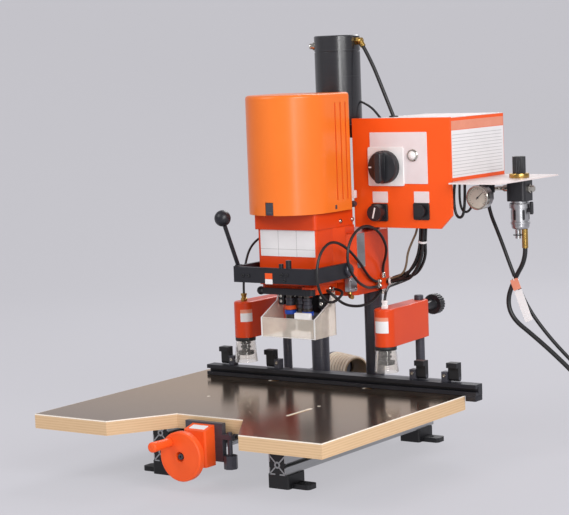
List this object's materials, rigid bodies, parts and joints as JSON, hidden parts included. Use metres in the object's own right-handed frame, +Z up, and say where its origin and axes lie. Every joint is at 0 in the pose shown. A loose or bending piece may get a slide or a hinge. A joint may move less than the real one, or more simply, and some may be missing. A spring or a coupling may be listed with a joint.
{
  "type": "hinge boring machine",
  "caption": "Bench hinge-boring machine: geared drill head on guide columns over a plywood table, with air stroke, crank fence, flip stops, hold-down clamps, control box and air unit.",
  "frame": {"origin": "centre of the four bench bolt holes, on the bench", "axes": "+X right along the fence, +Y to the rear, +Z up"},
  "size_m": [1.195, 0.92, 0.893],
  "materials": {
    "rail_aluminium": "black anodised",
    "black_steel": "satin black",
    "table_ply": "film-faced plywood",
    "orange_cast": "orange enamel on a casting",
    "orange_sheet": "orange powder coat on sheet",
    "bare_steel": "ground steel",
    "black_plastic": "satin",
    "black_rubber": "matt",
    "clear_plastic": "clear polycarbonate",
    "brass": "turned",
    "silver_cast": "die cast",
    "pale_sheet": "pale lacquered sheet",
    "beige_plastic": "ribbed hose",
    "orange_plastic": "moulded"
  },
  "bodies": {
    "base": {"base_rails": "rail_aluminium", "rail_feet": "black_plastic", "worktable": "table_ply", "base_plate": "black_steel", "guide_columns": "black_steel", "clamp_posts": "black_steel", "column_yoke": "black_steel", "air_cylinder": "rail_aluminium", "cylinder_hose": "black_rubber", "control_panel": "orange_sheet", "control_box": "orange_sheet", "air_plate": "pale_sheet", "filter_regulator": "black_plastic", "filter_bowl": "silver_cast", "pressure_gauge": "silver_cast", "supply_fittings": "brass", "crank_bracket": "black_steel", "crank_housing": "orange_plastic", "dust_hose": "beige_plastic", "supply_loom": "black_rubber", "power_cord": "black_rubber", "power_coil": "black_rubber", "power_plug": "black_plastic", "air_hose": "black_rubber", "air_coupling": "brass"},
    "fence": {"fence": "rail_aluminium", "fence_carriage": "black_steel", "stop_brackets": "black_steel"},
    "crank": {"crank_wheel": "orange_plastic", "lead_screw": "bare_steel"},
    "crank_handle": {"crank_handle": "orange_plastic"},
    "head": {"head_casting": "orange_cast", "motor": "silver_cast", "motor_hood": "orange_sheet", "gear_cover": "orange_cast", "spindle_bearings": "bare_steel", "spindle_guard": "clear_plastic", "piston_rod": "bare_steel", "head_hoses": "black_rubber"},
    "left_clamp": {"left_clamp_arm": "orange_cast", "left_clamp_cone": "clear_plastic"},
    "right_clamp": {"right_clamp_arm": "orange_cast", "right_clamp_cone": "clear_plastic"},
    "outer_left_stop": {"outer_left_stop": "black_plastic"},
    "inner_left_stop": {"inner_left_stop": "black_plastic"},
    "inner_right_stop": {"inner_right_stop": "black_plastic"},
    "outer_right_stop": {"outer_right_stop": "black_plastic"},
    "cup_spindle": {"cup_spindle": "bare_steel"},
    "left_dowel_spindle": {"left_dowel_spindle": "bare_steel"},
    "right_dowel_spindle": {"right_dowel_spindle": "bare_steel"},
    "insertion_bracket": {"insertion_bracket": "black_steel"},
    "gear_lever": {"gear_lever": "black_steel"},
    "left_clamp_plunger": {"left_clamp_plunger": "bare_steel"},
    "left_clamp_knob": {"left_clamp_knob": "black_plastic"},
    "right_clamp_plunger": {"right_clamp_plunger": "bare_steel"},
    "right_clamp_knob": {"right_clamp_knob": "black_plastic"},
    "main_switch_knob": {"main_switch_knob": "black_plastic"},
    "selector_knob": {"selector_knob": "black_plastic"},
    "push_button": {"push_button": "black_plastic"},
    "regulator_knob": {"regulator_knob": "black_plastic"}
  },
  "joints": [
    {"name": "head_stroke", "type": "slide", "parent": "base", "child": "head", "axis": [0, 0, -1], "range_m": [0, 0.09], "deforming": ["supply_loom"]},
    {"name": "cup_spindle_turn", "type": "hinge", "parent": "head", "child": "cup_spindle", "pos_m": [0, 0.036, 0.3], "axis": [0, 0, 1], "continuous": true},
    {"name": "left_dowel_turn", "type": "hinge", "parent": "head", "child": "left_dowel_spindle", "pos_m": [-0.0225, 0.0265, 0.3], "axis": [0, 0, 1], "continuous": true},
    {"name": "right_dowel_turn", "type": "hinge", "parent": "head", "child": "right_dowel_spindle", "pos_m": [0.0225, 0.0265, 0.3], "axis": [0, 0, 1], "continuous": true},
    {"name": "insertion_swing", "type": "hinge", "parent": "head", "child": "insertion_bracket", "pos_m": [0, 0.063, 0.396], "axis": [-1, 0, 0], "range_deg": [-24, 30]},
    {"name": "gear_lever_swing", "type": "hinge", "parent": "head", "child": "gear_lever", "pos_m": [0.066, -0.024, 0.357], "axis": [0, 0, 1], "range_deg": [0, 60]},
    {"name": "crank_turn", "type": "hinge", "parent": "base", "child": "crank", "pos_m": [0, -0.39, 0.075], "axis": [0, -1, 0], "range_deg": [-540, 3240]},
    {"name": "fence_slide", "type": "slide", "parent": "base", "child": "fence", "axis": [0, -1, 0], "range_m": [-0.006, 0.036]},
    {"name": "handle_spin", "type": "hinge", "parent": "crank", "child": "crank_handle", "pos_m": [-0.025, -0.43, 0.102], "axis": [0, 1, 0], "continuous": true},
    {"name": "outer_left_stop_flip", "type": "hinge", "parent": "fence", "child": "outer_left_stop", "pos_m": [0, 0.122, 0.1695], "axis": [1, 0, 0], "range_deg": [0, 90]},
    {"name": "inner_left_stop_flip", "type": "hinge", "parent": "fence", "child": "inner_left_stop", "pos_m": [0, 0.122, 0.1695], "axis": [1, 0, 0], "range_deg": [0, 90]},
    {"name": "inner_right_stop_flip", "type": "hinge", "parent": "fence", "child": "inner_right_stop", "pos_m": [0, 0.122, 0.1695], "axis": [1, 0, 0], "range_deg": [0, 90]},
    {"name": "outer_right_stop_flip", "type": "hinge", "parent": "fence", "child": "outer_right_stop", "pos_m": [0, 0.122, 0.1695], "axis": [1, 0, 0], "range_deg": [0, 90]},
    {"name": "left_clamp_height", "type": "slide", "parent": "base", "child": "left_clamp", "axis": [0, 0, 1], "range_m": [0, 0.04]},
    {"name": "left_plunger_press", "type": "slide", "parent": "left_clamp", "child": "left_clamp_plunger", "axis": [0, 0, -1], "range_m": [0, 0.045], "stiffness_N_per_m": 250, "springref_m": -0.03},
    {"name": "left_knob_turn", "type": "hinge", "parent": "left_clamp", "child": "left_clamp_knob", "pos_m": [-0.177, 0.29, 0.298], "axis": [0, 1, 0], "range_deg": [0, 180]},
    {"name": "right_clamp_height", "type": "slide", "parent": "base", "child": "right_clamp", "axis": [0, 0, 1], "range_m": [0, 0.04]},
    {"name": "right_plunger_press", "type": "slide", "parent": "right_clamp", "child": "right_clamp_plunger", "axis": [0, 0, -1], "range_m": [0, 0.045], "stiffness_N_per_m": 250, "springref_m": -0.03},
    {"name": "right_knob_turn", "type": "hinge", "parent": "right_clamp", "child": "right_clamp_knob", "pos_m": [0.177, 0.29, 0.298], "axis": [0, 1, 0], "range_deg": [0, 180]},
    {"name": "main_switch_turn", "type": "hinge", "parent": "base", "child": "main_switch_knob", "pos_m": [0.1625, 0.12, 0.611], "axis": [0, 1, 0], "range_deg": [0, 90]},
    {"name": "selector_turn", "type": "hinge", "parent": "base", "child": "selector_knob", "pos_m": [0.1435, 0.12, 0.514], "axis": [0, 1, 0], "range_deg": [0, 60]},
    {"name": "button_push", "type": "slide", "parent": "base", "child": "push_button", "axis": [0, 1, 0], "range_m": [0, 0.004], "stiffness_N_per_m": 800, "springref_m": -0.002},
    {"name": "regulator_turn", "type": "hinge", "parent": "base", "child": "regulator_knob", "pos_m": [0.405, 0.275, 0.6], "axis": [0, 0, 1], "range_deg": [-360, 360]}
  ],
  "couplings": [
    {"joint": "left_dowel_turn", "follows": "cup_spindle_turn", "ratio": -1},
    {"joint": "right_dowel_turn", "follows": "cup_spindle_turn", "ratio": -1},
    {"joint": "fence_slide", "follows": "crank_turn", "m_per_rad": 0.00063662}
  ]
}
